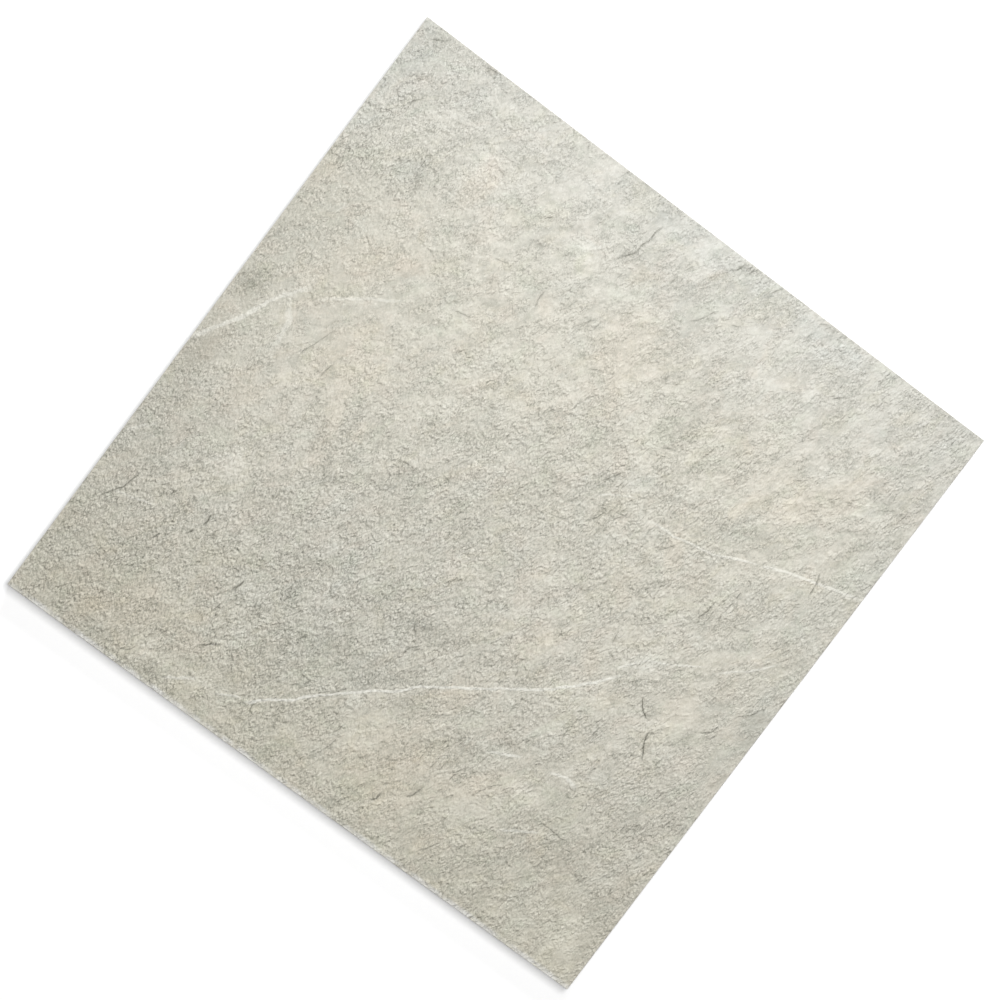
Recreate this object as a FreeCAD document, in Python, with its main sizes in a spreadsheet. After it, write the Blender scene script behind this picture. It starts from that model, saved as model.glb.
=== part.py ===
import FreeCAD, Part
import os
import Sketcher

# A square outdoor porcelain paving slab, pressed and fired in one piece and then
# ground true on its four sides. It lies flat: +Z is up, the origin is in the middle
# of the underside, and the sides run along X and Y. The riven relief of the walking
# face is finer than a millimetre, so that face is flat here, at the height of the
# highest points of its relief.

doc = FreeCAD.newDocument("PatioSlab")

# Driving dimensions, in millimetres and degrees
sizes = {
    "side": 600,         # ground side of the square
    "thickness": 20,     # underside of the ribs to the walking face
    "topArris": 1.2,     # bevel along the four edges of the walking face
    "lowerArris": 0.6,   # smaller bevel along the four edges of the underside
    "cornerNip": 0.8,    # flat taken off the four upright corner edges
    "border": 15,        # plain strip round the underside
    "ribWidth": 3,       # between two key cells, where the slab bears
    "cellDepth": 0.8,    # of the key cells pressed into the underside
    "cellDraft": 30,     # slope of a cell's walls, for the press to let go
    "cellsAcross": 16,   # key cells along each side
}
sheet = doc.addObject("Spreadsheet::Sheet", "Sizes")
for row, (name, value) in enumerate(sizes.items(), start=1):
    sheet.set(f"A{row}", name)
    sheet.set(f"B{row}", str(value))
    sheet.setAlias(f"B{row}", name)
doc.recompute()

# The key cells fill the underside inside its border, with a rib between neighbours
cellCount = "round(Sizes.cellsAcross)"
cellReach = "(Sizes.side / 2 - Sizes.border)"
cellPitch = f"((2 * {cellReach} + Sizes.ribWidth) / {cellCount})"
cellSide = f"({cellPitch} - Sizes.ribWidth)"

# How near two heights or places count as the same, in millimetres
near = 1e-6

body = doc.addObject("PartDesign::Body", "Slab")
body.Label = "slab"
origin = {item.Role: item for item in body.Origin.OriginFeatures}


# A square on the underside's plane. Its low corner is at -reach on both axes.
def squareSketch(name, reach, width):
    sketch = body.newObject("Sketcher::SketchObject", name)
    sketch.AttachmentSupport = [(origin["XY_Plane"], "")]
    sketch.MapMode = "FlatFace"
    corners = [FreeCAD.Vector(x, y, 0) for x, y in ((-1, -1), (1, -1), (1, 1), (-1, 1))]
    for start, end in zip(corners, corners[1:] + corners[:1]):
        sketch.addGeometry(Part.LineSegment(start, end))
    for line in range(4):
        sketch.addConstraint(Sketcher.Constraint("Coincident", line, 2, (line + 1) % 4, 1))
    for line in (0, 2):
        sketch.addConstraint(Sketcher.Constraint("Horizontal", line))
        sketch.addConstraint(Sketcher.Constraint("Vertical", line + 1))
    sketch.addConstraint(Sketcher.Constraint("Equal", 0, 1))
    driven = {
        "width": (Sketcher.Constraint("DistanceX", 0, 1, 0, 2, 2), width),
        "reachX": (Sketcher.Constraint("DistanceX", 0, 1, -1, 1, 1), reach),
        "reachY": (Sketcher.Constraint("DistanceY", 0, 1, -1, 1, 1), reach),
    }
    for datum, (constraint, size) in driven.items():
        sketch.renameConstraint(sketch.addConstraint(constraint), datum)
        sketch.setExpression(f"Constraints.{datum}", size)
    return sketch


# A bevel along those edges of the last feature that the test picks
def bevel(name, size, picks):
    base = body.Tip
    edges = [f"Edge{i}" for i, edge in enumerate(base.Shape.Edges, start=1) if picks(edge)]
    chamfer = body.newObject("PartDesign::Chamfer", name)
    chamfer.Base = (base, edges)
    chamfer.setExpression("Size", size)
    doc.recompute()
    return chamfer


def liesAt(edge, height):
    return all(abs(corner.Z - height) < near for corner in edge.Vertexes)


def isUpright(edge):
    low, high = (corner.Point for corner in edge.Vertexes)
    return abs(low.x - high.x) < near and abs(low.y - high.y) < near


# The fired blank, ground square
blank = body.newObject("PartDesign::Pad", "Blank")
blank.Profile = squareSketch("Plan", "Sizes.side / 2", "Sizes.side")
blank.setExpression("Length", "Sizes.thickness")
doc.recompute()

# Ground arrises, so that the edges don't chip
walkingHeight = blank.Shape.BoundBox.ZMax
beddingHeight = blank.Shape.BoundBox.ZMin
cuts = [
    bevel("TopArris", "Sizes.topArris", lambda edge: liesAt(edge, walkingHeight)),
    bevel("LowerArris", "Sizes.lowerArris", lambda edge: liesAt(edge, beddingHeight)),
    bevel("CornerNips", "Sizes.cornerNip", isUpright),
]

# One key cell pressed into the underside, upwards and with drafted walls
cell = body.newObject("PartDesign::Pocket", "KeyCell")
cell.Profile = squareSketch("CellPlan", cellReach, cellSide)
cell.Reversed = True
cell.setExpression("Length", "Sizes.cellDepth")
cell.setExpression("TaperAngle", "-Sizes.cellDraft")
doc.recompute()
cuts.append(cell)

# Repeated over the underside, which leaves a grid of ribs that the slab bears on
keys = body.newObject("PartDesign::LinearPattern", "KeyCells")
keys.Originals = [cell]
keys.Direction = (origin["X_Axis"], [""])
keys.Direction2 = (origin["Y_Axis"], [""])
for length, count in (("Length", "Occurrences"), ("Length2", "Occurrences2")):
    keys.setExpression(length, f"{cellPitch} * ({cellCount} - 1)")
    keys.setExpression(count, cellCount)
body.Tip = keys
doc.recompute()
cuts.append(keys)

# Every feature is sound, and each cut takes something away
for item in doc.Objects:
    if {"Invalid", "Error"} & set(item.State):
        raise RuntimeError(f"{item.Name} failed: {item.State}")
before = blank.Shape.Volume
for cut in cuts:
    if not cut.Shape.Volume < before:
        raise RuntimeError(f"{cut.Name} cuts nothing")
    before = cut.Shape.Volume
if body.Shape.isNull() or not body.Shape.isValid() or len(body.Shape.Solids) != 1:
    raise RuntimeError(f"{body.Label} isn't one sound solid")

os.makedirs("parts", exist_ok=True)
body.Shape.exportStep(f"parts/{body.Label}.step")
print(body.Label, "volume", round(body.Shape.Volume), "mm3,", len(body.Shape.Faces), "faces")
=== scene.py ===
import math

import bmesh
import bpy
import numpy as np
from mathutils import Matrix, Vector


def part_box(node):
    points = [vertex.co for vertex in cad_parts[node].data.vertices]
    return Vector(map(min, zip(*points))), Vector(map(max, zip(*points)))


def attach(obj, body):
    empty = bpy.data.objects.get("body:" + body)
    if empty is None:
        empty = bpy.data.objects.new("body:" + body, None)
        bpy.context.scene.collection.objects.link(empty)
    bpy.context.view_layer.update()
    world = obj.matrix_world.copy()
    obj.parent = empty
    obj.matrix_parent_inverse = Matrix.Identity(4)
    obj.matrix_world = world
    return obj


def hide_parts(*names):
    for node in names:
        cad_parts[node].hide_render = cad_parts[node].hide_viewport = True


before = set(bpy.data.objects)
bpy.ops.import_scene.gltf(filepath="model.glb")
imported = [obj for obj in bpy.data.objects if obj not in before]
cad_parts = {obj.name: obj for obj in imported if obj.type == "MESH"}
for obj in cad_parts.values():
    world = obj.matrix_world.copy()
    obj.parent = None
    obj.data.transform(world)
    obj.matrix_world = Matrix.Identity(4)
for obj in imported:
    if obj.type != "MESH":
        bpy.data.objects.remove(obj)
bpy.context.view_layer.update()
slabLow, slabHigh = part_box("slab")
mm = 0.001
print("frame loaded")


# Camera, light and floor

cameraSetup = {
    "position": (-0.2331, 0.1234, 2.3882),    # above the slab, a little left and back
    "turn": (-5.498, -2.747, 36.875),         # degrees about X, Y and Z
    "lens": 100,                              # mm
    "sensor": 36,                             # mm
    "nearest": 0.01,                          # where the picture starts, in metres
}
lampSetup = {
    "softbox": {"position": (0.02, 0.40, 1.80), "size": (0.4, 0.8), "power": 22.0,
                "colour": (1.0, 1.0, 1.0)},
    "window": {"position": (-0.60, 1.90, 1.20), "size": (1.0, 0.6), "power": 29.0,
               "colour": (0.95, 0.98, 1.0)},
}
skySetup = {
    "colour": (1.0, 1.0, 1.0, 1),
    "strength": 0.15,
    "seenStrength": 1.0,                      # of the white that only the camera sees
}
floorSetup = {
    "size": 12.0,
    "colour": (0.90, 0.90, 0.90, 1),
    "roughness": 0.9,
    "glow": (1.0, 1.0, 1.0, 1),               # seen by the camera and reflections only
    "lift": 0.38,                             # strength of the glow under the slab
    "farLift": 1.0,                           # and far from it, where the floor is white
    "fade": (0.7, 1.8),                       # metres from the middle where it starts and ends
}


def addCamera():
    bpy.ops.object.camera_add(location=cameraSetup["position"])
    camera = bpy.context.object
    camera.name = "camera"
    camera.rotation_euler = [math.radians(angle) for angle in cameraSetup["turn"]]
    camera.data.lens = cameraSetup["lens"]
    camera.data.sensor_width = cameraSetup["sensor"]
    camera.data.clip_start = cameraSetup["nearest"]
    bpy.context.scene.camera = camera


def addLamps():
    for name, setup in lampSetup.items():
        position = Vector(setup["position"])
        bpy.ops.object.light_add(type="AREA", location=position)
        lamp = bpy.context.object
        lamp.name = name
        lamp.rotation_euler = (-position).to_track_quat("-Z", "Y").to_euler()
        lamp.data.shape = "RECTANGLE"
        lamp.data.size, lamp.data.size_y = setup["size"]
        lamp.data.energy = setup["power"]
        lamp.data.color = setup["colour"]
        lamp.visible_camera = False


# A node with its settings and inputs. An input is a value or another node's socket.
def addNode(tree, kind, inputs=None, **settings):
    node = tree.nodes.new("ShaderNode" + kind)
    for name, value in settings.items():
        setattr(node, name, value)
    for socket, value in (inputs or {}).items():
        if isinstance(value, bpy.types.NodeSocket):
            tree.links.new(value, node.inputs[socket])
        else:
            node.inputs[socket].default_value = value
    return node


def calculate(tree, operation, first, second=0.0):
    return addNode(tree, "Math", {0: first, 1: second}, operation=operation).outputs[0]


def times(tree, first, second):
    return calculate(tree, "MULTIPLY", first, second)


def total(tree, *values):
    result = values[0]
    for value in values[1:]:
        result = calculate(tree, "ADD", result, value)
    return result


# Rescales a value between two limits, held inside them
def rescale(tree, value, low, high, toLow=0.0, toHigh=1.0, soft=True):
    kind = "SMOOTHSTEP" if soft else "LINEAR"
    inputs = {"Value": value, "From Min": low, "From Max": high, "To Min": toLow, "To Max": toHigh}
    return addNode(tree, "MapRange", inputs, interpolation_type=kind).outputs["Result"]


def mixColour(tree, factor, first, second, blend="MIX"):
    inputs = {"Factor": factor, 6: first, 7: second}
    return addNode(tree, "Mix", inputs, data_type="RGBA", blend_type=blend).outputs[2]


def noise(tree, vector, size, detail=2.0, roughness=0.5, distortion=0.0):
    inputs = {"Vector": vector, "Scale": 1 / size, "Detail": detail,
              "Roughness": roughness, "Distortion": distortion}
    return addNode(tree, "TexNoise", inputs).outputs["Fac"]


# A noise moved to lie round 0
def centred(tree, value):
    return calculate(tree, "SUBTRACT", value, 0.5)


def newMaterial(name):
    material = bpy.data.materials.new(name)
    material.use_nodes = True
    material.node_tree.nodes.clear()
    return material, material.node_tree


# 1 where the camera or a reflection looks, 0 for the light that falls on the slab
def seenRays(tree):
    path = addNode(tree, "LightPath").outputs
    seen = calculate(tree, "MAXIMUM", path["Is Camera Ray"], path["Is Glossy Ray"])
    return calculate(tree, "MAXIMUM", seen, path["Is Transmission Ray"])


def setSky():
    world = bpy.data.worlds.new("sky")
    world.use_nodes = True
    bpy.context.scene.world = world
    tree = world.node_tree
    tree.nodes.clear()
    light = addNode(tree, "Background", {"Color": skySetup["colour"],
                                         "Strength": skySetup["strength"]})
    seen = addNode(tree, "Background", {"Color": skySetup["colour"],
                                        "Strength": skySetup["seenStrength"]})
    isCamera = addNode(tree, "LightPath").outputs["Is Camera Ray"]
    shown = addNode(tree, "MixShader", {0: isCamera, 1: light.outputs[0], 2: seen.outputs[0]})
    addNode(tree, "OutputWorld", {"Surface": shown.outputs[0]})


def addFloor():
    bpy.ops.mesh.primitive_plane_add(size=floorSetup["size"], location=(0, 0, slabLow.z))
    floor = bpy.context.object
    floor.name = "floor"
    bpy.ops.object.transform_apply(location=True, rotation=True, scale=True)
    material, tree = newMaterial("floorPaper")
    place = addNode(tree, "TexCoord").outputs["Object"]
    away = addNode(tree, "VectorMath", {0: place}, operation="LENGTH").outputs["Value"]
    lift = rescale(tree, away, *floorSetup["fade"], floorSetup["lift"], floorSetup["farLift"])
    lift = times(tree, seenRays(tree), lift)
    paper = addNode(tree, "BsdfPrincipled", {"Base Color": floorSetup["colour"],
                                             "Roughness": floorSetup["roughness"],
                                             "Emission Color": floorSetup["glow"],
                                             "Emission Strength": lift})
    addNode(tree, "OutputMaterial", {"Surface": paper.outputs[0]})
    floor.data.materials.append(material)


bpy.context.scene.view_settings.view_transform = "Standard"
bpy.ops.object.select_all(action="DESELECT")
addCamera()
addLamps()
setSky()
addFloor()
print("camera, light and floor set")


# The slab's shape

slabShape = {
    "faceCuts": 16,               # made twice, so a side has 17 x 17 squares
    "topArris": 1.2 * mm,         # ground bevel round the walking face
    "lowerArris": 0.6 * mm,
    "cornerNip": 0.8 * mm,
    "border": 15 * mm,            # plain strip round the keyed underside
    "ribWidth": 3 * mm,
    "cellDepth": 0.8 * mm,
    "cellDraft": 30,              # degrees
    "cellsAcross": 16,
    "edgeRelief": 0.35,           # share of the relief that reaches the edges
    "edgeFade": 9 * mm,
    "smoothUpTo": 25,             # degrees
}
# Layers of the riven relief: size in metres along and across the strokes, turn in degrees,
# depth, octaves, and the levels at which a terrace rises to the next
reliefLayers = {
    "swell": {"size": (0.170, 0.110), "turn": 35, "depth": 0.60 * mm, "octaves": 1},
    "riven": {"size": (0.060, 0.030), "turn": 50, "depth": 0.80 * mm, "octaves": 3,
              "steps": (0.36, 0.44, 0.52, 0.60, 0.68)},
    "ripple": {"size": (0.024, 0.012), "turn": 54, "depth": 0.45 * mm, "octaves": 2},
    "grit": {"size": (0.008, 0.006), "turn": 50, "depth": 0.20 * mm, "octaves": 1},
}
near = 1e-5                       # metres, closer than this counts as on a plane
weldGap = 1e-7
levelNormal = 0.9                 # Z of a normal that counts as straight up
backNormal = 0.5                  # the same for the underside, with the cells' sloping walls


# Selects the faces of the block in edit mode that the test picks
def selectFaces(block, picks):
    bpy.ops.mesh.select_mode(type="FACE")
    bpy.ops.mesh.select_all(action="DESELECT")
    mesh = bmesh.from_edit_mesh(block.data)
    mesh.normal_update()
    for face in mesh.faces:
        if picks(face):
            face.select_set(True)
    bmesh.update_edit_mesh(block.data)


def pressKeys(block):
    run = slabShape["cellDepth"] * math.tan(math.radians(slabShape["cellDraft"]))
    halfRib = slabShape["ribWidth"] / 2
    selectFaces(block, lambda face: face.normal.z < -levelNormal)
    bpy.ops.mesh.inset(thickness=slabShape["border"] - halfRib)
    bpy.ops.mesh.subdivide(number_cuts=slabShape["cellsAcross"] - 1)
    bpy.ops.mesh.inset(thickness=halfRib, use_individual=True)
    bpy.ops.mesh.inset(thickness=run, depth=-slabShape["cellDepth"], use_individual=True)


def cutFaceGrid(block):
    selectFaces(block, lambda face: face.normal.z > levelNormal)
    bpy.ops.mesh.subdivide(number_cuts=slabShape["faceCuts"])
    bpy.ops.mesh.subdivide(number_cuts=slabShape["faceCuts"])


# How much of the relief each vertex of the walking face takes
def weighRelief(block):
    group = block.vertex_groups.new(name="relief")
    edge = slabShape["edgeRelief"]
    for vertex in block.data.vertices:
        if vertex.co.z > slabHigh.z - near:
            inside = min(slabHigh.x - abs(vertex.co.x), slabHigh.y - abs(vertex.co.y))
            share = min(inside / slabShape["edgeFade"], 1)
            share = share * share * (3 - 2 * share)
            group.add([vertex.index], edge + (1 - edge) * share, "REPLACE")


# Turns the slopes of a cloud texture into terraces, one step at each of the given levels
def cutTerraces(texture, steps, halfRise=0.015):
    texture.use_color_ramp = True
    stops = texture.color_ramp.elements
    stops[1].position, stops[1].color = 1.0, (1, 1, 1, 1)
    stops[0].position, stops[0].color = 0.0, (0, 0, 0, 1)
    for i, step in enumerate(steps):
        for position, level in ((step - halfRise, i), (step + halfRise, i + 1)):
            level /= len(steps)
            stops.new(position).color = (level, level, level, 1)


def pressRelief(block):
    weighRelief(block)
    for name, layer in reliefLayers.items():
        along, across = layer["size"]
        bpy.ops.object.empty_add(rotation=(0, 0, math.radians(layer["turn"])))
        guide = bpy.context.object
        guide.scale = (along, across, across)
        texture = bpy.data.textures.new(name, "CLOUDS")
        texture.noise_basis = "IMPROVED_PERLIN"
        texture.noise_scale = 1.0
        texture.noise_depth = layer["octaves"]
        if "steps" in layer:
            cutTerraces(texture, layer["steps"])
        press = block.modifiers.new(name, "DISPLACE")
        press.texture = texture
        press.texture_coords = "OBJECT"
        press.texture_coords_object = guide
        press.direction = "Z"
        press.mid_level = 0.5
        press.strength = layer["depth"]
        press.vertex_group = "relief"
        bpy.context.view_layer.update()
        bpy.context.view_layer.objects.active = block
        bpy.ops.object.modifier_apply(modifier=name)
        bpy.data.objects.remove(guide)
    middle = (slabLow.z + slabHigh.z) / 2
    top = [vertex for vertex in block.data.vertices if vertex.co.z > middle]
    rise = slabHigh.z - max(vertex.co.z for vertex in top)
    for vertex in top:
        vertex.co.z += rise


# Cuts off what lies past a plane, and closes the cut
def grind(point, normal):
    bpy.ops.mesh.select_all(action="SELECT")
    bpy.ops.mesh.bisect(plane_co=point, plane_no=normal, use_fill=True, clear_outer=True,
                        threshold=weldGap)


def grindArrises():
    x, y = slabHigh.x, slabHigh.y
    for height, size, slope in ((slabHigh.z, slabShape["topArris"], 1),
                                (slabLow.z, slabShape["lowerArris"], -1)):
        for side in (-1, 1):
            grind((side * x, 0, height - slope * size), (side, 0, slope))
            grind((0, side * y, height - slope * size), (0, side, slope))
    for sideX in (-1, 1):
        for sideY in (-1, 1):
            grind((sideX * (x - slabShape["cornerNip"]), sideY * y, 0), (sideX, sideY, 0))


def addSlab():
    size = slabHigh - slabLow
    bpy.ops.mesh.primitive_cube_add(size=1, location=(slabHigh + slabLow) / 2, scale=size)
    block = bpy.context.object
    block.name = "pavingSlab"
    bpy.ops.object.transform_apply(location=True, rotation=True, scale=True)
    bpy.ops.object.mode_set(mode="EDIT")
    pressKeys(block)
    cutFaceGrid(block)
    bpy.ops.object.mode_set(mode="OBJECT")
    pressRelief(block)
    bpy.ops.object.mode_set(mode="EDIT")
    bpy.ops.mesh.select_mode(type="FACE")
    grindArrises()
    bpy.ops.mesh.select_all(action="DESELECT")
    bpy.ops.object.mode_set(mode="OBJECT")
    bpy.ops.object.shade_smooth_by_angle(angle=math.radians(slabShape["smoothUpTo"]))
    return block


slab = addSlab()
print("slab shaped,", sum(len(face.vertices) - 2 for face in slab.data.polygons), "triangles")


# Marks of the walking face, in millimetres from its middle

# Each line has a half width, a strength and its points
faceVeins = [
    (1.15, 1.00, [(-79, -265), (-63, -249), (-47, -237), (-31, -221), (-15, -207), (-4, -197),
                 (10, -186), (23, -177), (37, -161), (44, -156), (62, -143), (83, -130),
                 (101, -116), (117, -106), (129, -96), (140, -85), (155, -70), (171, -50)]),
    (0.9, 0.76, [(105, 66), (111, 72), (134, 73), (152, 78), (170, 80), (190, 90), (211, 98)]),
    (1.1, 0.78, [(190, 90), (211, 98), (224, 104), (245, 111), (264, 116), (285, 122), (303, 127)]),
    (1.8, 0.66, [(-303, -42), (-293, -27), (-284, -12), (-275, 3), (-270, 16), (-262, 33),
                 (-252, 46), (-247, 53), (-241, 60)]),
    (1.1, 0.48, [(-231, 54), (-216, 66), (-199, 79), (-178, 92), (-172, 97)]),
    (2.2, 0.45, [(-252, 40), (-246, 31), (-241, 22), (-238, 0)]),
]
hairVeins = [
    (0.9, 0.76, [(160, -52), (166, -44), (181, -27), (200, -17), (222, -3), (228, 0)]),
    (0.9, 0.68, [(234, -2), (240, 3), (247, 10), (259, 19), (270, 32), (278, 43)]),
    (3.0, 0.30, [(182, -40), (186, -33), (190, -27)]),
    (0.9, 0.68, [(-103, -272), (-91, -265), (-80, -260)]),
    (0.9, 0.60, [(-277, -181), (-260, -177), (-240, -171)]),
    (1.1, 0.42, [(-298, -134), (-285, -119), (-276, -110)]),
    (1.1, 0.88, [(115, -174), (131, -165), (146, -158)]),
    (1.3, 0.76, [(170, -155), (179, -153), (189, -150), (200, -154)]),
    (1.2, 0.70, [(164, -223), (180, -213), (198, -202)]),
    (0.9, 0.60, [(56, 59), (67, 69), (77, 74), (90, 82)]),
    (1.4, 0.66, [(-148, -288), (-135, -278), (-120, -268)]),
]
faceCracks = [
    (0.50, 0.70, [(255, 123), (260, 112)]), (0.50, 0.60, [(259, 112), (260, 99)]),
    (0.50, 1.10, [(197, -53), (199, -58), (205, -64), (210, -67), (214, -68)]),
    (0.50, 1.10, [(221, -73), (220, -79), (223, -88), (227, -94), (231, -101)]),
    (0.55, 1.20, [(-196, -161), (-195, -155), (-196, -148)]),
    (0.50, 0.70, [(-233, -121), (-229, -113)]), (0.50, 0.60, [(-241, -131), (-237, -126)]),
    (0.40, 0.50, [(-217, -92), (-216, -84)]),
    (0.45, 0.85, [(-284, -197), (-277, -184), (-270, -174), (-267, -162), (-264, -150)]),
    (0.35, 0.50, [(-218, 1), (-216, 11), (-210, 26), (-207, 36), (-202, 46)]),
    (0.40, 0.50, [(-192, -1), (-191, 8), (-188, 19)]),
    (0.35, 0.40, [(-247, -34), (-242, -23), (-238, -15)]),
    (0.55, 0.80, [(-50, 230), (-46, 239), (-41, 244), (-39, 251), (-38, 257), (-36, 263),
                  (-36, 271), (-33, 281)]),
    (0.50, 0.50, [(-39, 218), (-38, 228)]), (0.50, 0.50, [(-80, 156), (-82, 168), (-82, 176)]),
    (0.40, 0.40, [(-58, 175), (-54, 186)]), (0.50, 0.50, [(-42, 167), (-38, 174), (-32, 181)]),
    (0.50, 0.50, [(-134, 171), (-120, 175)]), (0.50, 0.50, [(-119, 224), (-112, 230)]),
    (0.50, 0.50, [(-137, 114), (-128, 117), (-116, 119)]), (0.50, 0.50, [(-11, 144), (-2, 150)]),
    (0.55, 0.70, [(-271, 230), (-267, 237), (-261, 243)]),
    (0.50, 0.50, [(-291, 210), (-282, 216), (-274, 224)]),
    (0.55, 0.70, [(-287, 286), (-279, 290), (-271, 296)]), (0.50, 0.60, [(-236, 295), (-223, 298)]),
    (0.50, 0.50, [(-249, 179), (-240, 181), (-233, 186)]), (0.50, 0.40, [(-177, 262), (-165, 271)]),
    (0.50, 0.60, [(4, 261), (8, 268)]), (0.50, 0.50, [(0, 243), (2, 253)]),
    (0.55, 0.70, [(48, 289), (54, 300)]), (0.50, 0.60, [(38, 284), (43, 298)]),
    (0.55, 0.60, [(74, 289), (81, 299)]),
    (0.40, 0.50, [(32, 227), (38, 233), (42, 240), (45, 247), (49, 251)]),
    (0.40, 0.40, [(5, 228), (14, 237)]), (0.50, 0.60, [(64, 247), (72, 252)]),
    (0.50, 0.50, [(94, 266), (101, 271)]), (0.50, 0.60, [(124, 294), (132, 298)]),
    (0.50, 0.90, [(55, 74), (59, 80), (63, 86), (65, 93)]), (0.50, 0.50, [(8, 51), (13, 58)]),
    (0.50, 0.50, [(16, 51), (24, 54)]), (0.50, 0.60, [(62, 36), (70, 45), (74, 55), (76, 61)]),
    (0.55, 0.80, [(67, 55), (74, 57)]), (0.50, 0.60, [(83, 60), (92, 63)]),
    (0.45, 0.50, [(37, 24), (46, 28), (53, 31)]), (0.45, 0.70, [(114, 58), (114, 65), (116, 69)]),
    (0.45, 0.80, [(130, 55), (135, 61), (140, 68)]), (0.55, 0.60, [(78, 127), (92, 134)]),
    (0.55, 0.60, [(172, 249), (177, 254), (183, 261)]), (0.55, 0.60, [(254, 240), (261, 244)]),
    (0.55, 0.60, [(215, 161), (223, 166)]), (0.55, 0.60, [(236, 185), (241, 188)]),
    (0.55, 0.50, [(222, 178), (229, 183)]), (0.40, 0.40, [(261, 195), (274, 204)]),
    (0.55, 0.90, [(-71, -259), (-68, -267)]),
    (0.50, 0.80, [(7, -150), (8, -143), (11, -138), (16, -133)]),
    (0.50, 0.70, [(0, -122), (7, -128)]), (0.50, 0.60, [(-47, -226), (-44, -216), (-41, -211)]),
    (0.50, 0.70, [(-13, -218), (-13, -212)]), (0.50, 0.60, [(-20, -230), (-17, -225)]),
    (0.55, 0.60, [(-77, -219), (-72, -219)]), (0.50, 0.60, [(-47, -261), (-42, -266)]),
    (0.40, 0.50, [(-16, -163), (-10, -160)]), (0.50, 1.10, [(-142, -190), (-139, -176)]),
    (0.50, 0.50, [(-48, -111), (-48, -103)]),
    (0.50, 0.60, [(2, -255), (4, -250), (5, -245), (6, -239)]),
    (0.50, 0.50, [(78, -31), (81, -37), (84, -41)]), (0.50, 0.60, [(73, -77), (76, -86)]),
    (0.50, 0.60, [(61, -107), (64, -114)]), (0.50, 0.60, [(87, -89), (88, -96)]),
    (0.50, 0.70, [(96, -99), (97, -106)]), (0.50, 0.60, [(89, -115), (91, -120)]),
    (0.40, 0.50, [(110, -113), (115, -120)]), (0.50, 0.60, [(122, -130), (124, -122)]),
    (0.50, 0.50, [(117, -6), (120, -13)]), (0.50, 0.60, [(145, -20), (146, -26), (147, -33)]),
    (0.55, 0.80, [(22, -107), (26, -105)]), (0.50, 0.80, [(20, -86), (21, -83)]),
    (0.50, 0.50, [(161, -112), (163, -126)]), (0.50, 0.60, [(183, -98), (182, -108)]),
    (0.40, 0.50, [(52, -182), (63, -173), (77, -163)]),
    (0.50, 0.90, [(193, 27), (196, 35), (197, 41), (198, 49)]), (0.50, 0.60, [(210, 62), (211, 69)]),
    (0.50, 0.60, [(210, 37), (209, 43)]), (0.50, 0.70, [(231, 43), (237, 46)]),
    (0.45, 0.80, [(256, -50), (263, -45), (266, -37)]),
    (0.50, 0.70, [(274, -20), (282, -12), (287, -5)]), (0.50, 0.70, [(299, 9), (300, 16)]),
    (0.45, 0.80, [(129, -214), (132, -205), (138, -195), (144, -189)]),
    (0.50, 0.60, [(116, -224), (116, -220)]), (0.45, 0.60, [(103, -207), (109, -199), (111, -194)]),
    (0.50, 0.70, [(199, -134), (203, -127)]),
    (0.45, 0.80, [(193, -195), (204, -195), (215, -196), (223, -194)]),
    (0.40, 0.50, [(220, -202), (232, -201)]), (0.50, 0.50, [(123, -277), (128, -268), (133, -259)]),
    (0.55, 0.60, [(278, -212), (277, -205)]), (0.55, 1.00, [(60, -268), (64, -263), (65, -254)]),
    (0.50, 0.90, [(85, -246), (89, -239), (91, -230)]), (0.50, 0.70, [(85, -214), (87, -208)]),
    (0.50, 0.60, [(29, -297), (32, -289)]), (0.40, 0.50, [(37, -289), (45, -274)]),
    (0.50, 0.60, [(-1, -239), (2, -234), (4, -225)]), (0.50, 0.50, [(131, -209), (137, -196)]),
    (0.55, 1.20, [(-203, -174), (-200, -167)]), (0.55, 1.20, [(-225, -195), (-221, -187)]),
    (0.50, 0.60, [(-151, -202), (-150, -199)]), (0.55, 0.60, [(-187, -253), (-187, -250)]),
    (0.50, 0.50, [(-190, -278), (-184, -267)]),
    (0.50, 1.00, [(-138, -246), (-131, -240), (-125, -234)]),
    (0.50, 0.50, [(-187, -295), (-179, -287)]),
]
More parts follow.
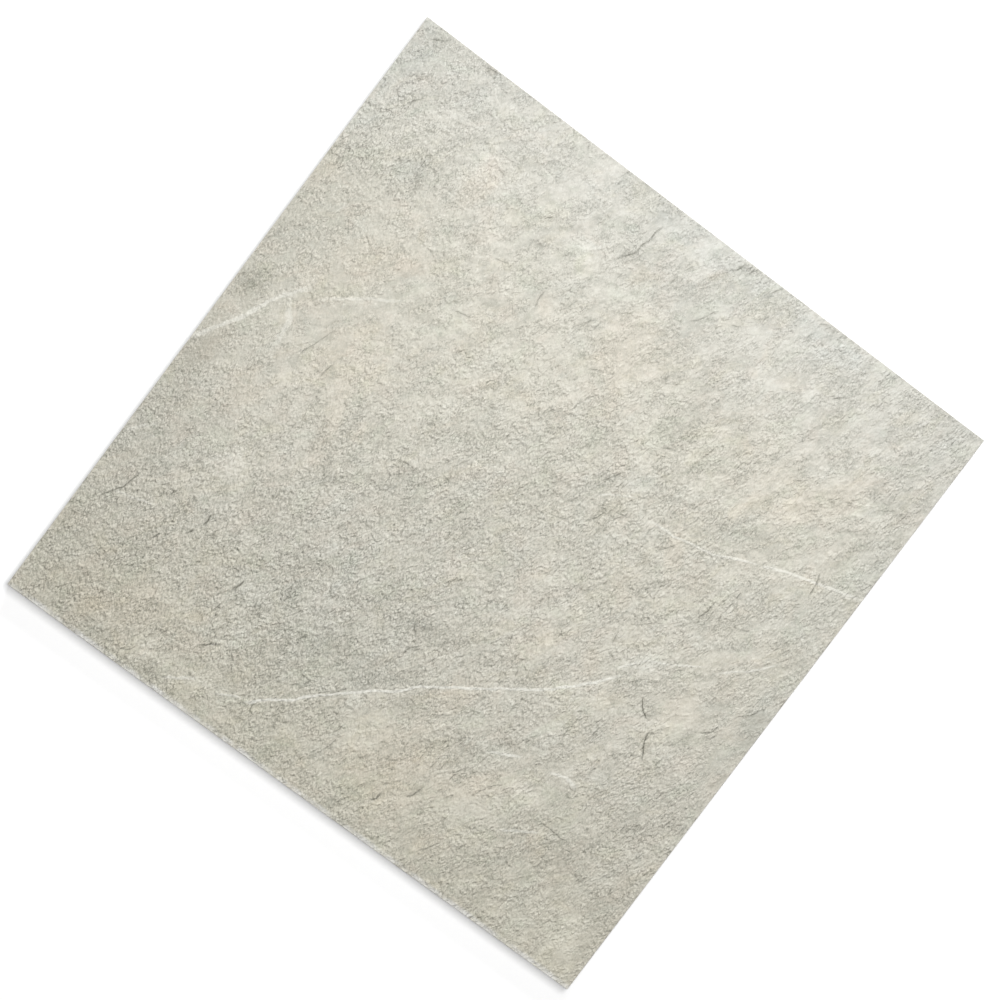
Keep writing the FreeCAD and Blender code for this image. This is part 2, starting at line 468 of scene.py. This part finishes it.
# Each patch has a place, two half sizes, a turn in degrees and a force
# Tone: below 0 is darker
tonePatches = [
    # The first two darken the left and right sides: painted shade, where the light falls off towards
    # them
    ((-300, 20), (330, 75), 90, -0.9), ((300, 0), (330, 40), 90, -0.3),
    ((150, 150), (100, 60), 10, 0.6), ((-200, 130), (70, 60), 0, -0.3),
    ((-282, 284), (32, 14), 60, -0.7), ((-252, 254), (26, 6), 50, -0.8),
    ((-291, 166), (20, 16), 30, -0.6), ((-226, 190), (18, 11), 110, -1.5),
    ((-44, 250), (26, 5), 80, -0.4), ((52, 265), (34, 13), 30, -0.5),
    ((180, 240), (20, 6), 95, -0.5), ((188, 188), (14, 9), 90, -1.0),
    ((13, 204), (10, 7), 90, -0.4), ((116, 128), (16, 10), 70, -1.0),
    ((103, 90), (14, 9), 60, -0.9), ((193, 116), (28, 9), 20, -1.5),
    ((165, 95), (22, 7), 15, -0.8), ((56, 70), (12, 10), 80, -1.0),
    ((76, 57), (12, 10), 60, -0.7), ((10, 32), (34, 14), 20, -0.6),
    ((-286, 32), (18, 11), 60, -1.6), ((-77, -18), (22, 13), 30, -0.8),
    ((-17, -26), (14, 10), 60, -1.0), ((-50, 2), (18, 8), 20, -0.5),
    ((2, -120), (20, 9), 20, -1.5), ((28, -114), (22, 10), 20, -1.3),
    ((70, -103), (18, 10), 40, -0.5), ((-103, -155), (24, 13), 110, -1.3),
    ((-45, -178), (22, 12), 20, -1.4), ((-8, -183), (30, 12), 40, -1.4),
    ((40, -183), (13, 9), 30, -1.3), ((-92, -247), (16, 12), 60, -0.7),
    ((-68, -236), (12, 9), 30, -0.6), ((291, -20), (24, 13), 95, -1.2),
    ((270, -62), (40, 7), 115, -0.6), ((257, -146), (18, 9), 60, -1.2),
    ((290, -128), (12, 10), 60, -1.0), ((240, -188), (24, 10), 55, -0.9),
    ((210, -220), (24, 11), 50, -0.8), ((165, -257), (26, 12), 45, -0.8),
    ((137, -288), (18, 10), 50, -0.8), ((280, -224), (16, 14), 60, -1.1),
    ((-289, -208), (16, 12), 60, -0.7), ((-245, -214), (24, 12), 40, -0.6),
    ((-283, -250), (14, 10), 40, -0.5), ((-228, -268), (16, 9), 40, -0.5),
    ((-187, 232), (20, 13), 80, 0.9), ((-246, 236), (24, 7), 50, 0.7),
    ((-75, 230), (20, 15), 80, 1.0), ((-172, 180), (22, 12), 70, 0.5),
    ((-124, 86), (12, 10), 50, 1.0), ((-125, 148), (18, 12), 40, 0.5),
    ((215, 198), (22, 10), 60, 0.7), ((248, 188), (14, 9), 60, 0.6),
    ((222, 95), (26, 6), 22, 0.7), ((-244, 20), (12, 9), 60, 0.8),
    ((-178, 20), (22, 10), 85, 1.0), ((-206, -16), (14, 8), 70, 0.7),
    ((-290, 130), (14, 8), 80, 0.5), ((185, -34), (15, 9), 90, 1.1),
    ((230, -44), (34, 30), 80, 0.5), ((222, -74), (26, 11), 60, 0.5),
    ((-137, -75), (20, 11), 50, 0.6), ((-228, -128), (36, 9), 48, 1.0),
    ((-212, -100), (16, 10), 60, 0.7), ((-190, -205), (26, 12), 50, 0.5),
    ((-128, -208), (16, 9), 80, 0.6), ((26, -220), (20, 13), 50, 1.2),
    ((66, -180), (18, 12), 60, 0.5), ((138, -210), (30, 10), 48, 1.5),
    ((165, -178), (22, 9), 55, 1.0), ((193, -132), (20, 7), 70, 0.9),
    ((262, -280), (34, 24), 45, 1.0), ((292, -292), (12, 10), 40, 0.8),
    ((-170, -274), (14, 12), 40, 1.5), ((-120, -267), (12, 5), 10, 1.0),
    ((90, -60), (60, 20), 45, 0.3), ((110, 45), (60, 26), 50, 0.2),
    ((-41, -139), (8, 5), 20, 0.9), ((-237, -3), (12, 6), 60, 0.9),
    ((-201, -13), (9, 6), 60, 0.8), ((-63, -225), (9, 4), 40, 0.9),
    ((-113, -268), (9, 6), 30, 0.9), ((-158, -289), (8, 7), 0, -1.1),
    ((186, -34), (9, 5), 60, 1.0), ((-167, -183), (7, 5), 30, 0.7),
    ((-120, 164), (12, 3), 31, -0.8), ((-157, 214), (9, 3), 171, -0.8),
    ((17, 286), (7, 3), 40, -1.0), ((117, 136), (10, 3), 30, -0.8),
    ((218, 207), (11, 3), 32, -1.0), ((227, 152), (17, 3), 32, -1.1),
    ((251, 208), (9, 3), 27, -1.0), ((169, 148), (10, 3), 176, -0.8),
    ((283, 160), (11, 3), 23, -0.7), ((-59, -188), (7, 3), 166, -1.0),
    ((-48, -181), (7, 3), 56, -1.1), ((262, 78), (6, 3), 143, -1.3),
    ((186, -266), (6, 3), 79, -1.0), ((93, -176), (6, 3), 68, -0.8),
    ((-295, -228), (5, 3), 56, -1.0), ((135, 103), (40, 7), 10, -0.6),
    ((240, 112), (24, 8), 15, -0.5), ((68, 112), (12, 7), 150, -0.7),
    ((165, 135), (14, 9), 80, -0.6), ((-190, 70), (40, 22), 30, -0.45),
    ((-240, -290), (50, 10), 0, -0.7), ((-150, -290), (50, 10), 0, -0.8),
    ((150, -290), (50, 9), 0, -0.6), ((-50, 284), (60, 12), 0, -0.5),
    ((-286, -45), (40, 14), 90, -0.8), ((290, -250), (36, 10), 90, -0.6),
    ((27, -168), (18, 14), 30, -0.8), ((-127, -230), (20, 15), 40, 1.0),
    ((-272, -278), (24, 16), 20, -0.7), ((-232, -232), (18, 12), 50, -0.5),
]
# Roughness: below 0 is smoother
roughPatches = [
    ((-60, -60), (170, 100), 40, 0.20), ((-150, -200), (170, 100), 15, 0.42),
    ((60, 50), (110, 60), 50, 0.20), ((230, 140), (90, 70), 15, -0.30),
    ((-255, 205), (60, 45), 30, 0.45), ((-45, 245), (16, 12), 90, 0.5),
    ((275, -170), (60, 40), 60, 0.25), ((0, 250), (300, 75), 0, -0.42),
    ((-230, 30), (100, 80), 90, -0.40), ((-110, 140), (120, 70), 30, -0.35),
    ((228, -52), (36, 28), 60, -0.4), ((28, -222), (34, 24), 50, -0.6),
    ((290, -50), (60, 24), 90, -0.35), ((250, 20), (50, 40), 45, -0.3),
    ((270, -278), (30, 20), 40, -0.4), ((140, -200), (60, 22), 45, -0.25),
]
# Warmth: above 0 is a pink or straw tint, below 0 a blue or green one
warmPatches = [
    ((-180, 215), (36, 11), 82, 0.9), ((-205, 118), (42, 16), 30, 0.9),
    ((-232, 78), (30, 22), 50, 0.7), ((-185, 25), (44, 34), 80, 0.9),
    ((-155, -40), (40, 11), 100, 0.7), ((4, 182), (34, 28), 60, 1.1),
    ((22, 130), (26, 7), 120, 0.8), ((-75, 165), (18, 8), 120, 0.5),
    ((-108, 116), (20, 9), 140, 0.6), ((228, 180), (44, 15), 55, 1.2),
    ((160, 165), (60, 40), 20, 0.4), ((80, 190), (70, 40), 0, 0.3),
    ((145, 58), (34, 9), 118, 0.9), ((126, 8), (22, 15), 100, 0.9),
    ((90, -74), (26, 14), 70, 0.9), ((143, -56), (24, 9), 125, 0.7),
    ((230, -46), (26, 20), 20, 0.6), ((-242, -55), (32, 14), 45, 0.7),
    ((66, -150), (30, 22), 45, 0.7), ((55, -232), (46, 34), 50, 1.2),
    ((132, -200), (34, 13), 45, 0.9), ((200, -214), (26, 10), 140, 0.7),
    ((120, -270), (20, 20), 0, 0.7), ((-205, -250), (46, 28), 20, 0.8),
    ((-150, -228), (24, 12), 70, 0.6), ((-258, -262), (24, 18), 30, 0.8),
    ((-285, 150), (14, 12), 0, 0.7), ((-236, -138), (14, 12), 0, 0.5),
    ((-292, 235), (60, 18), 90, -1.0), ((20, 290), (90, 14), 0, -1.1),
    ((150, 285), (40, 14), 0, -0.6), ((292, -5), (50, 14), 90, -1.0),
    ((285, 130), (60, 20), 90, -0.9), ((238, 72), (36, 24), 45, -0.7),
    ((85, 95), (30, 12), 30, -0.6), ((-60, 30), (90, 50), 30, -0.3),
    ((-70, -160), (110, 80), 60, -0.6), ((-290, -130), (60, 18), 90, -0.3),
    ((210, -140), (24, 12), 60, -0.7), ((-5, -175), (50, 13), 95, -0.4),
    ((-235, 190), (22, 12), 60, -0.7), ((-115, 205), (16, 10), 60, -0.5),
    ((262, -205), (44, 9), 60, -0.4), ((40, 0), (80, 40), 20, -0.2),
    ((-286, -20), (70, 15), 90, 0.5),
]


# Signed distance from the nearest line in half widths, and how strong that line is there.
# Each line fades out over its last fifth, or over the longest fade if that is less.
def lineField(places, lines, reach=5, endShare=0.2, longestFade=12):
    nearest = np.full(len(places), np.inf)
    offset = np.zeros(len(places))
    strength = np.zeros(len(places))
    for halfWidth, force, points in lines:
        points = np.array(points, float)
        lengths = np.linalg.norm(np.diff(points, axis=0), axis=1)
        endFade = min(endShare * lengths.sum(), longestFade)
        passed = 0.0
        for start, end, length in zip(points, points[1:], lengths):
            run = (end - start) / length
            gone = places - start
            share = np.clip(gone @ run, 0, length)
            away = gone - share[:, None] * run
            distance = np.linalg.norm(away, axis=1)
            side = np.sign(run[0] * gone[:, 1] - run[1] * gone[:, 0])
            fromEnd = np.minimum(passed + share, lengths.sum() - passed - share)
            closer = distance < nearest
            nearest[closer] = distance[closer]
            offset[closer] = (side * distance / halfWidth)[closer]
            taper = np.clip(fromEnd / endFade, 0, 1)
            strength[closer] = (force * taper)[closer]
            passed += length
    strength[nearest > reach] = 0
    return offset, strength


# Sum of soft oval patches
def patchField(places, patches):
    tone = np.zeros(len(places))
    for place, (along, across), turn, force in patches:
        gone = places - np.array(place, float)
        c, s = math.cos(math.radians(turn)), math.sin(math.radians(turn))
        away = (gone @ (c, s) / along) ** 2 + (gone @ (-s, c) / across) ** 2
        tone += force * np.exp(-away)
    return tone


def storeField(mesh, name, columns):
    layer = mesh.attributes.new(name, "FLOAT_VECTOR", "POINT")
    values = np.zeros((len(mesh.vertices), 3), np.float32)
    for i, column in enumerate(columns):
        values[:, i] = column
    layer.data.foreach_set("vector", values.ravel())


def markFace(mesh):
    places = np.zeros(len(mesh.vertices) * 3)
    mesh.vertices.foreach_get("co", places)
    places = places.reshape(-1, 3)[:, :2] / mm
    storeField(mesh, "veins", lineField(places, faceVeins))
    storeField(mesh, "hairVeins", lineField(places, hairVeins))
    storeField(mesh, "cracks", lineField(places, faceCracks))
    storeField(mesh, "patches", [patchField(places, patches)
                                 for patches in (tonePatches, roughPatches, warmPatches)])


markFace(slab.data)
print("face marked")


# Materials

facePrintAndPaintedLight = {
    "strokes": (52, 1.5),                     # turn in degrees and stretch of the riven marks
    "skin": (86, 1.45),                       # the same of the fine grain
    "scores": (84, 1.75),                     # and of the curls and beads
    "broadSize": 110 * mm,
    "mottleSize": 26 * mm,
    "plateSize": 15 * mm,
    "blotSize": 11 * mm,
    "flakeSize": 8 * mm,
    "cloudSize": 1 / 45,                      # metres
    "ledgesPerMetre": 130,
    "curlsPerMetre": 310,
    "grainPerMetre": 400,
    "beadsPerMetre": 500,
    "gritPerMetre": 900,
    "toneStops": {"darkest": 0.05, "dark": 0.36, "body": 0.50, "pale": 0.64, "palest": 0.95},
    "darkest": (0.260, 0.250, 0.205, 1),
    "dark": (0.515, 0.497, 0.420, 1),
    "body": (0.648, 0.617, 0.527, 1),
    "pale": (0.720, 0.690, 0.595, 1),
    "palest": (0.830, 0.805, 0.710, 1),
    "vein": (0.850, 0.830, 0.745, 1),
    "crack": (0.150, 0.148, 0.110, 1),
    "rim": (0.860, 0.850, 0.830, 1),          # worn rim of the front side
    "green": (0.965, 1.000, 0.970, 1),        # tints, multiplied with the print
    "pink": (1.020, 0.985, 0.975, 1),
    "blue": (0.975, 0.995, 1.010, 1),
    "straw": (1.010, 1.000, 0.955, 1),
    "blush": (1.012, 0.988, 0.970, 1),
    "chill": (0.986, 1.000, 1.014, 1),
    # painted light, multiplied with the print: a cool sheen at the back and a warmer shade at the
    # front
    "sheenTint": (0.975, 0.995, 1.045, 1),
    "shadeTint": (1.005, 1.000, 0.970, 1),
    "tint": 0.56,                             # share of the clouds' tints
    "sheenReach": (0.12, 0.30),                # from where to where on Y the painted cool sheen reaches, towards the back side
    "sheenShare": 0.8,
    "shadeReach": (-0.10, -0.30),              # and the painted warmer shade, towards the front side
    "broad": 0.12,                            # shares in the tone, from broad to fine
    "mottle": 0.30,
    "flake": 0.54,
    "flakeStep": 0.08,
    "patches": 0.085,
    "blots": -0.12,
    "grain": 0.60,
    "grit": 1.18,
    "roughLift": 0.065,                       # makes up for the flecks and creases
    "usualRough": 0.6,
    "flecks": 0.15,
    "paleFlecks": 0.5,
    # darkening in the creases: partly their dark print, partly painted shade in the grooves
    "creaseInkAndShade": 0.15,
    "ledgeInkAndShade": 0.4,
    "veinHaze": 0.08,                         # how well the lines cover: beside them and on them
    "veinCover": 0.9,
    "crackHaze": 0.2,
    "crackCover": 0.65,
    "lineShake": {                            # size, reach in half widths, and depth of the gaps
        "veins": (12 * mm, 0.9, 0.2),
        "hairVeins": (10 * mm, 0.9, 0.3),
        "cracks": (4 * mm, 1.1, 0.45),
    },
    "coreReach": (1.35, 0.6),                 # half widths off a line where its core starts
    "bandReach": (5.0, 0.8),                  # and is full, and the same of the band beside it
    "rimReach": (6 * mm, 2 * mm),             # from where to where, in from the front side
    "rimSize": 14 * mm,                       # of the worn and unworn stretches
    "rimCover": (0.15, 0.62),
    "roughness": (0.58, 0.44),                # in the dark marks and in the pale ones
    "grainDepth": 1.1,                        # mm, as all the depths
    "gritDepth": 0.4,
    "flakeDepth": 0.9,
    "mottleDepth": 0.4,
    "ledgeDepth": 0.28,
    "curlDepth": 0.40,
    "beadDepth": 0.50,
    "veinRise": 0.15,
    "crackRise": -0.5,
}


# A noise in a node group, finer by a factor and shifted to a pattern of its own
def groupNoise(tree, given, finer, detail, shift, roughness=0.7):
    scale = times(tree, given["Marks per Metre"], finer)
    inputs = {"Vector": given["Vector"], "W": shift, "Scale": scale, "Detail": detail,
              "Roughness": roughness}
    return addNode(tree, "TexNoise", inputs, noise_dimensions="4D").outputs["Fac"]


# A node group with a place and a fineness going in, and the named values that it makes
def makeGroup(name, make):
    tree = bpy.data.node_groups.new(name, "ShaderNodeTree")
    tree.interface.new_socket("Vector", in_out="INPUT", socket_type="NodeSocketVector")
    tree.interface.new_socket("Marks per Metre", in_out="INPUT", socket_type="NodeSocketFloat")
    given = tree.nodes.new("NodeGroupInput").outputs
    made = make(tree, given)
    for socket in made:
        tree.interface.new_socket(socket, in_out="OUTPUT", socket_type="NodeSocketFloat")
    output = tree.nodes.new("NodeGroupOutput")
    for socket, value in made.items():
        tree.links.new(value, output.inputs[socket])
    return tree


# Mineral grain of a fired body: a fine noise round 0, with dark and pale flecks
def makeGrain(tree, given):
    speck = groupNoise(tree, given, 1.5, 1.0, 3.0)
    return {"Tone": centred(tree, groupNoise(tree, given, 1.0, 2.0, 0.0)),
            "Dark Flecks": rescale(tree, speck, 0.42, 0.30),
            "Pale Flecks": rescale(tree, speck, 0.60, 0.72)}


# Pebbled skin of rounded beads
def makeBeads(tree, given):
    inputs = {"Vector": given["Vector"], "Scale": given["Marks per Metre"]}
    cells = addNode(tree, "TexVoronoi", inputs, voronoi_dimensions="2D").outputs["Distance"]
    return {"Height": calculate(tree, "SUBTRACT", 0.5, cells)}


# Curled creases: short grooves along the small steps between thin plates
def makeCurls(tree, given):
    level = centred(tree, groupNoise(tree, given, 1.0, 1.0, 5.0, 0.6))
    line = calculate(tree, "ABSOLUTE", level)
    broken = rescale(tree, groupNoise(tree, given, 1.5, 1.0, 9.0), 0.48, 0.60)
    groove = times(tree, rescale(tree, line, 0.08, 0.0), times(tree, broken, 0.5))
    plate = rescale(tree, level, -0.08, 0.08)
    return {"Height": calculate(tree, "SUBTRACT", plate, groove),
            "Creases": times(tree, rescale(tree, line, 0.06, 0.0), broken)}


grainGroup = makeGroup("mineralGrain", makeGrain)
beadGroup = makeGroup("pebbledSkin", makeBeads)
curlGroup = makeGroup("curledCreases", makeCurls)


def addMarks(tree, group, vector, perMetre):
    inputs = {"Vector": vector, "Marks per Metre": perMetre}
    return addNode(tree, "Group", inputs, node_tree=group).outputs


# Object coordinates turned along the strokes and drawn out that way
def strokeCoordinates(tree, place, turn, stretch):
    inputs = {"Vector": place, "Rotation": (0, 0, math.radians(turn)), "Scale": (stretch, 1, 1)}
    return addNode(tree, "Mapping", inputs, vector_type="TEXTURE").outputs[0]


# The three parts of a field that is stored on the mesh
def storedParts(tree, name):
    field = addNode(tree, "Attribute", attribute_name=name).outputs["Vector"]
    return addNode(tree, "SeparateXYZ", {0: field}).outputs


# How strongly a drawn line shows here: its core and a softer band beside it
def lineMask(tree, place, name):
    size, reach, gaps = facePrintAndPaintedLight["lineShake"][name]
    parts = storedParts(tree, name)
    shake = rescale(tree, noise(tree, place, size, 3.0, 0.7), 0.3, 0.7, -reach, reach, soft=False)
    offset = calculate(tree, "ABSOLUTE", calculate(tree, "ADD", parts["X"], shake))
    fade = rescale(tree, noise(tree, place, size * 0.7, 2.0), 0.35, 0.52, 1 - gaps, 1.0)
    strength = times(tree, parts["Y"], fade)
    core = times(tree, rescale(tree, offset, *facePrintAndPaintedLight["coreReach"]), strength)
    band = times(tree, rescale(tree, offset, *facePrintAndPaintedLight["bandReach"]), strength)
    return core, band


# A ramp through the named colours of the print, from the darkest tone to the palest
def toneColour(tree, tone):
    ramp = addNode(tree, "ValToRGB", {"Fac": tone})
    stops = ramp.color_ramp.elements
    positions = facePrintAndPaintedLight["toneStops"]
    for stop, name in ((stops[0], "darkest"), (stops[1], "palest")):
        stop.position, stop.color = positions[name], facePrintAndPaintedLight[name]
    for name in ("dark", "body", "pale"):
        stops.new(positions[name]).color = facePrintAndPaintedLight[name]
    return ramp.outputs["Color"]


# Faint clouds of pink or grey-green, and of straw or blue-grey
def tintClouds(tree, strokes, colour):
    inputs = {"Vector": strokes, "Scale": 1 / facePrintAndPaintedLight["cloudSize"], "Detail": 3.0,
              "Roughness": 0.6, "Distortion": 0.5}
    clouds = addNode(tree, "TexNoise", inputs).outputs["Color"]
    clouds = addNode(tree, "SeparateColor", {0: clouds}).outputs
    for cloud, low, high in (("Red", "green", "pink"), ("Green", "blue", "straw")):
        for name, start, full in ((low, 0.47, 0.32), (high, 0.53, 0.68)):
            share = times(tree, rescale(tree, clouds[cloud], start, full), facePrintAndPaintedLight["tint"])
            colour = mixColour(tree, share, colour, facePrintAndPaintedLight[name], "MULTIPLY")
    return colour


# Painted light: a cool sheen of the lamps' reflection towards the back side, and a warmer shade
# towards the front
def paintSheenAndShade(tree, along, colour):
    cool = rescale(tree, along, *facePrintAndPaintedLight["sheenReach"])
    cool = times(tree, cool, facePrintAndPaintedLight["sheenShare"])
    colour = mixColour(tree, cool, colour, facePrintAndPaintedLight["sheenTint"], "MULTIPLY")
    warm = rescale(tree, along, *facePrintAndPaintedLight["shadeReach"])
    return mixColour(tree, warm, colour, facePrintAndPaintedLight["shadeTint"], "MULTIPLY")


# Veins and cracks over the print, and the cores of both for the relief
def drawLines(tree, place, colour):
    veinCore, veinBand = lineMask(tree, place, "veins")
    hairCore, hairBand = lineMask(tree, place, "hairVeins")
    crackCore, crackBand = lineMask(tree, place, "cracks")
    core = calculate(tree, "MAXIMUM", veinCore, hairCore)
    band = calculate(tree, "MAXIMUM", veinBand, hairBand)
    for mask, cover, name in ((band, "veinHaze", "vein"), (core, "veinCover", "vein"),
                              (crackBand, "crackHaze", "darkest"),
                              (crackCore, "crackCover", "crack")):
        colour = mixColour(tree, times(tree, mask, facePrintAndPaintedLight[cover]), colour, facePrintAndPaintedLight[name])
    return colour, core, crackCore


def wearRim(tree, place, along, colour):
    start, full = facePrintAndPaintedLight["rimReach"]
    worn = noise(tree, place, facePrintAndPaintedLight["rimSize"], 3.0)
    worn = rescale(tree, worn, 0.35, 0.6, *facePrintAndPaintedLight["rimCover"])
    worn = times(tree, worn, rescale(tree, along, slabLow.y + start, slabLow.y + full))
    return mixColour(tree, worn, colour, facePrintAndPaintedLight["rim"])


# The bump, shader and output that each of the slab's materials ends with. Height is in mm.
def closeMaterial(tree, colour, roughness, height):
    bump = addNode(tree, "Bump", {"Height": height, "Distance": mm, "Strength": 1.0})
    body = addNode(tree, "BsdfPrincipled", {"Base Color": colour, "Roughness": roughness,
                                            "Normal": bump.outputs[0]})
    addNode(tree, "OutputMaterial", {"Surface": body.outputs[0]})


def makeFaceMaterial():
    material, tree = newMaterial("rivenFace")
    look = facePrintAndPaintedLight
    place = addNode(tree, "TexCoord").outputs["Object"]
    along = addNode(tree, "SeparateXYZ", {0: place}).outputs["Y"]
    strokes = strokeCoordinates(tree, place, *look["strokes"])
    skin = strokeCoordinates(tree, place, *look["skin"])
    scores = strokeCoordinates(tree, place, *look["scores"])
    patches = storedParts(tree, "patches")

    broad = centred(tree, noise(tree, place, look["broadSize"], 2.0))
    mottle = centred(tree, noise(tree, strokes, look["mottleSize"], 4.0, 0.62, 0.3))
    flake = centred(tree, noise(tree, strokes, look["flakeSize"], 3.0, 0.7))
    steps = calculate(tree, "SNAP", flake, look["flakeStep"])
    flake = total(tree, times(tree, flake, 0.5), times(tree, steps, 0.5))
    blots = rescale(tree, noise(tree, strokes, look["blotSize"], 4.0, 0.7), 0.40, 0.28)
    plates = noise(tree, strokes, look["plateSize"], 3.0, 0.6)
    plates = rescale(tree, plates, 0.42, 0.54, 0.40, 1.0)
    rough = rescale(tree, total(tree, plates, patches["Y"]), 0.0, 2.0, 0.2, 2.0, soft=False)
    grain = addMarks(tree, grainGroup, skin, look["grainPerMetre"])
    grit = addMarks(tree, grainGroup, skin, look["gritPerMetre"])
    curls = addMarks(tree, curlGroup, scores, look["curlsPerMetre"])
    ledges = addMarks(tree, curlGroup, scores, look["ledgesPerMetre"])
    beads = addMarks(tree, beadGroup, scores, look["beadsPerMetre"])

    # Tone from the broad patches down to single grains, round 0.5
    uneven = rescale(tree, total(tree, mottle, flake), -0.2, 0.2, 0.1, 1.9, soft=False)
    patch = times(tree, patches["X"], uneven)
    fine = total(tree, times(tree, grain["Tone"], look["grain"]),
                 times(tree, grit["Tone"], look["grit"]))
    tone = total(tree, 0.5, times(tree, broad, look["broad"]), times(tree, mottle, look["mottle"]),
                 times(tree, flake, look["flake"]), times(tree, patch, look["patches"]),
                 times(tree, blots, look["blots"]),
                 times(tree, fine, rough), times(tree, rough, look["roughLift"]),
                 -look["usualRough"] * look["roughLift"])
    colour = toneColour(tree, tone)
    dark = times(tree, times(tree, grain["Dark Flecks"], rough), look["flecks"])
    colour = mixColour(tree, dark, colour, look["darkest"])
    pale = times(tree, grain["Pale Flecks"], look["paleFlecks"])
    colour = mixColour(tree, pale, colour, look["palest"])
    # Darker in the creases: partly dark print, partly painted shade in the grooves
    crease = total(tree, curls["Creases"], times(tree, ledges["Creases"], look["ledgeInkAndShade"]))
    crease = times(tree, times(tree, crease, look["creaseInkAndShade"]), rough)
    colour = mixColour(tree, crease, colour, look["darkest"])

    stain = rescale(tree, mottle, -0.15, 0.15, 0.5, 1.5, soft=False)
    warm = times(tree, patches["Z"], stain)
    colour = mixColour(tree, rescale(tree, warm, 0.1, 0.8), colour, look["blush"], "MULTIPLY")
    colour = mixColour(tree, rescale(tree, warm, -0.1, -0.8), colour, look["chill"], "MULTIPLY")
    colour = tintClouds(tree, strokes, colour)
    # painted cool sheen towards the back and painted warmer shade towards the front
    colour = paintSheenAndShade(tree, along, colour)
    colour, vein, crack = drawLines(tree, place, colour)
    colour = wearRim(tree, place, along, colour)

    # Relief finer than the mesh
    height = total(tree, times(tree, times(tree, grain["Tone"], rough), look["grainDepth"]),
                   times(tree, times(tree, grit["Tone"], rough), look["gritDepth"]),
                   times(tree, times(tree, flake, rough), look["flakeDepth"]),
                   times(tree, mottle, look["mottleDepth"]),
                   times(tree, times(tree, ledges["Height"], rough), look["ledgeDepth"]),
                   times(tree, times(tree, curls["Height"], rough), look["curlDepth"]),
                   times(tree, times(tree, beads["Height"], rough), look["beadDepth"]),
                   times(tree, vein, look["veinRise"]),
                   times(tree, crack, look["crackRise"]))
    marks = calculate(tree, "ADD", flake, mottle)
    roughness = rescale(tree, marks, -0.3, 0.3, *look["roughness"])
    closeMaterial(tree, colour, roughness, height)
    return material


groundEdge = {
    "dark": (0.56, 0.54, 0.48, 1),
    "pale": (0.62, 0.60, 0.54, 1),
    "bevel": (0.74, 0.72, 0.68, 1),
    "bevelReach": (1.4 * mm, 1.0 * mm),       # from where to where, down from the face
    "darkFleck": (0.30, 0.30, 0.25, 1),
    "paleFleck": (0.70, 0.69, 0.63, 1),
    "flecks": 0.25,
    "cloudSize": 40 * mm,
    "scratchSize": 60 * mm,
    "scratchSqueeze": 40,                     # how much finer the scratches are up and down
    "scratchDepth": 0.03,                     # mm
    "grainDepth": 0.04,                       # mm
    "grainPerMetre": 700,
    "roughness": 0.6,
}
pressedBack = {
    "dark": (0.42, 0.405, 0.345, 1),
    "pale": (0.53, 0.515, 0.45, 1),
    "darkFleck": (0.25, 0.24, 0.19, 1),
    "paleFleck": (0.66, 0.65, 0.59, 1),
    "flecks": (0.35, 0.30),                   # shares of the dark and the pale ones
    "cloudSize": 60 * mm,
    "grainDepth": 0.16,                       # mm
    "grainPerMetre": 450,
    "roughness": 0.75,
}


def makeGroundMaterial():
    material, tree = newMaterial("groundEdge")
    look = groundEdge
    place = addNode(tree, "TexCoord").outputs["Object"]
    grain = addMarks(tree, grainGroup, place, look["grainPerMetre"])
    cloud = noise(tree, place, look["cloudSize"], 3.0)
    colour = mixColour(tree, cloud, look["dark"], look["pale"])
    level = addNode(tree, "SeparateXYZ", {0: place}).outputs["Z"]
    start, full = look["bevelReach"]
    bevel = rescale(tree, level, slabHigh.z - start, slabHigh.z - full)
    colour = mixColour(tree, bevel, colour, look["bevel"])
    for fleck, name in (("Dark Flecks", "darkFleck"), ("Pale Flecks", "paleFleck")):
        colour = mixColour(tree, times(tree, grain[fleck], look["flecks"]), colour, look[name])
    inputs = {"Vector": place, "Scale": (1, 1, look["scratchSqueeze"])}
    lines = addNode(tree, "Mapping", inputs).outputs[0]
    scratch = noise(tree, lines, look["scratchSize"], 2.0)
    height = total(tree, times(tree, scratch, look["scratchDepth"]),
                   times(tree, grain["Tone"], look["grainDepth"]))
    closeMaterial(tree, colour, look["roughness"], height)
    return material


def makeBackMaterial():
    material, tree = newMaterial("pressedBack")
    look = pressedBack
    place = addNode(tree, "TexCoord").outputs["Object"]
    grain = addMarks(tree, grainGroup, place, look["grainPerMetre"])
    cloud = noise(tree, place, look["cloudSize"], 4.0, 0.6)
    colour = mixColour(tree, cloud, look["dark"], look["pale"])
    for fleck, name, share in zip(("Dark Flecks", "Pale Flecks"), ("darkFleck", "paleFleck"),
                                  look["flecks"]):
        colour = mixColour(tree, times(tree, grain[fleck], share), colour, look[name])
    height = times(tree, grain["Tone"], look["grainDepth"])
    closeMaterial(tree, colour, look["roughness"], height)
    return material


def dressSlab():
    for material in (makeFaceMaterial(), makeGroundMaterial(), makeBackMaterial()):
        slab.data.materials.append(material)
    keyed = slabLow.z + slabShape["cellDepth"] + near
    for face in slab.data.polygons:
        if face.normal.z > levelNormal:
            face.material_index = 0
        elif face.center.z < keyed and face.normal.z < -backNormal:
            face.material_index = 2
        else:
            face.material_index = 1


dressSlab()
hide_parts("slab")
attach(slab, "root")
print("slab dressed")
